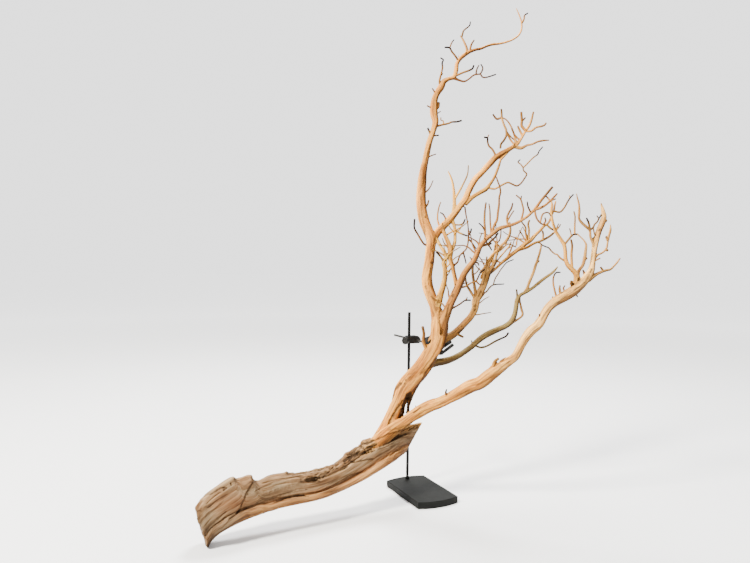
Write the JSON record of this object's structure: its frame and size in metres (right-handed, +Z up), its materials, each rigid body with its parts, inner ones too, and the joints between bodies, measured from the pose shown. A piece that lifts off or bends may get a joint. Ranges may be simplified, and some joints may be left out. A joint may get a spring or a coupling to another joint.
{
  "type": "dried branch on stand",
  "caption": "Large weathered dried branch with a broken slab foot and spreading twiggy limbs, gripped upright by a clamp on a rod stand with a flat base plate.",
  "frame": {"origin": "on the rod's axis at the underside of the base plate", "axes": "+Z up along the rod; -Y towards the branch's broad side; +X towards the twiggy limbs, away from the slab foot"},
  "size_m": [1.2442, 0.6884, 1.637],
  "materials": {
    "wood": "weathered",
    "black_cast_iron": "satin",
    "black_steel": "satin",
    "grey_steel": "satin",
    "black_rubber": "matte"
  },
  "bodies": {
    "stand": {"base_plate": "black_cast_iron", "rod": "black_steel", "rod_collar": "black_steel"},
    "boss": {"boss_head": "black_cast_iron"},
    "rod_screw": {"rod_screw": "black_steel"},
    "arm_screw": {"arm_screw": "black_steel"},
    "clamp": {"clamp_arm": "grey_steel", "clamp_yoke": "black_cast_iron", "branch": "wood"},
    "jaw": {"moving_jaw": "grey_steel", "upper_finger_sleeve": "black_rubber", "lower_finger_sleeve": "black_rubber"},
    "pivot_screw": {"pivot_screw": "black_steel"}
  },
  "joints": [
    {"name": "boss_slide", "type": "slide", "parent": "stand", "child": "boss", "axis": [0, 0, 1], "range_m": [0, 0.06]},
    {"name": "arm_slide", "type": "slide", "parent": "boss", "child": "clamp", "axis": [0.4194, -0.9078, 0], "range_m": [0, 0.04]},
    {"name": "rod_screw_turn", "type": "hinge", "parent": "boss", "child": "rod_screw", "pos_m": [0, 0, 0.5035], "axis": [0.5765, 0.8171, 0], "range_deg": [0, 180]},
    {"name": "arm_screw_turn", "type": "hinge", "parent": "boss", "child": "arm_screw", "pos_m": [0.02179, 0.01007, 0.503], "axis": [0.9078, 0.4194, 0], "range_deg": [0, 180]},
    {"name": "jaw_hinge", "type": "hinge", "parent": "clamp", "child": "jaw", "pos_m": [0.07631, -0.07931, 0.503], "axis": [0, 0, 1], "range_deg": [0, 12]},
    {"name": "pivot_screw_turn", "type": "hinge", "parent": "clamp", "child": "pivot_screw", "pos_m": [0.07631, -0.07931, 0.503], "axis": [0, 0, 1], "range_deg": [0, 180]}
  ]
}
